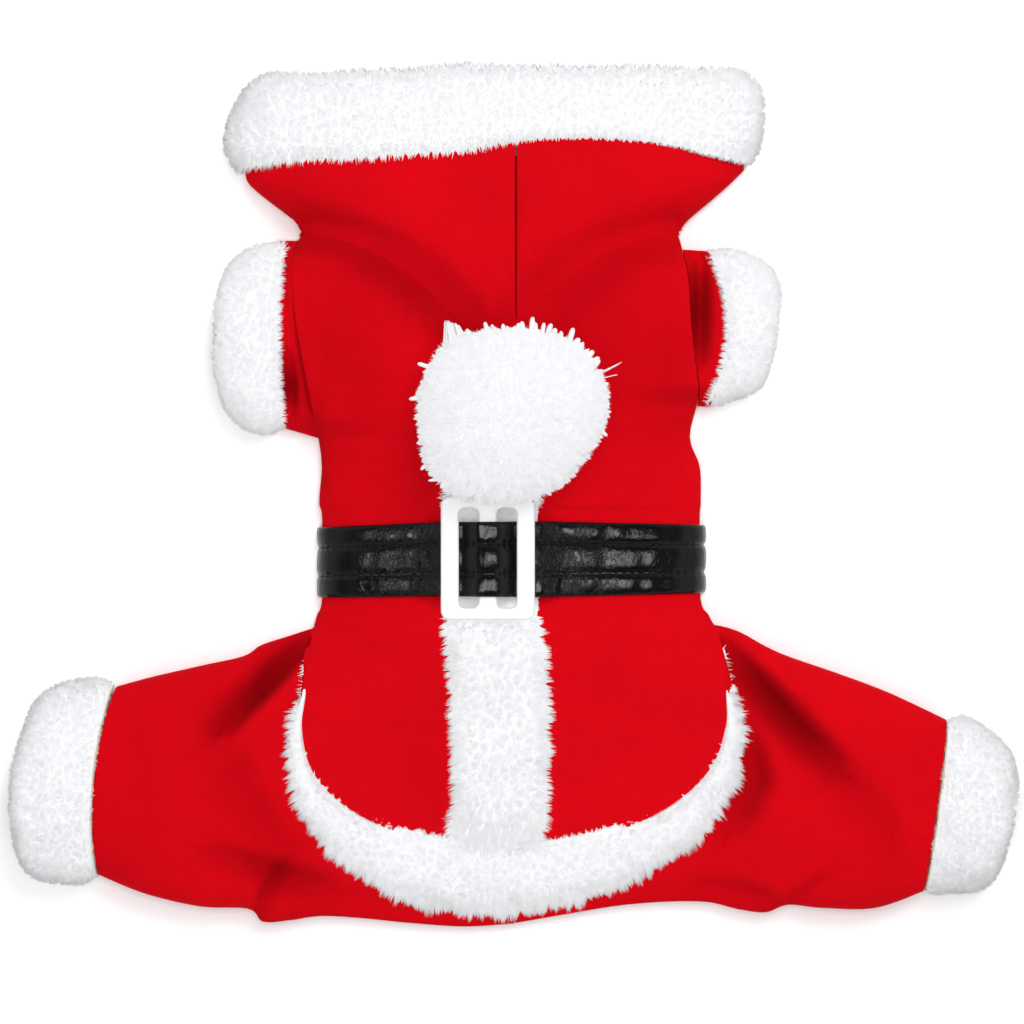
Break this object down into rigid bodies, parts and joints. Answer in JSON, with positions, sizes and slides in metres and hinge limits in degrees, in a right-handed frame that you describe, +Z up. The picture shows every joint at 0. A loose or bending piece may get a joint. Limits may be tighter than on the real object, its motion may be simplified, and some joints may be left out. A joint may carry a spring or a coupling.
{
  "type": "pet santa costume",
  "caption": "Hooded red fleece pet costume laid flat on its belly, with white plush trims, a pompom and a black belt through a white slide buckle.",
  "frame": {"origin": "on the surface the costume lies on, under the middle of its outline", "axes": "+Z up from that surface, +Y towards the hood, +X towards the right-hand leg as seen from above"},
  "size_m": [0.4006, 0.3438, 0.0717],
  "materials": {
    "fleece": "brushed fleece, matt",
    "plush": "short pile plush",
    "yarn": "cut yarn pompom",
    "strap": "glossy crinkled faux leather",
    "buckle": "smooth moulded"
  },
  "bodies": {
    "root": {"back_panel": "fleece", "belly_panel": "fleece", "hood_left": "fleece", "hood_right": "fleece", "hood_nape": "fleece", "hood_cheek_left": "fleece", "hood_cheek_right": "fleece", "sleeve_left": "fleece", "sleeve_right": "fleece", "trouser_left_back": "fleece", "trouser_right_back": "fleece", "trouser_left_front": "fleece", "trouser_right_front": "fleece", "hood_trim": "plush", "sleeve_cuff_left": "plush", "sleeve_cuff_right": "plush", "trouser_cuff_left": "plush", "trouser_cuff_right": "plush", "placket_trim": "plush", "tail_trim": "plush", "pompom": "yarn", "belt_strap": "strap", "buckle": "buckle"}
  },
  "joints": []
}
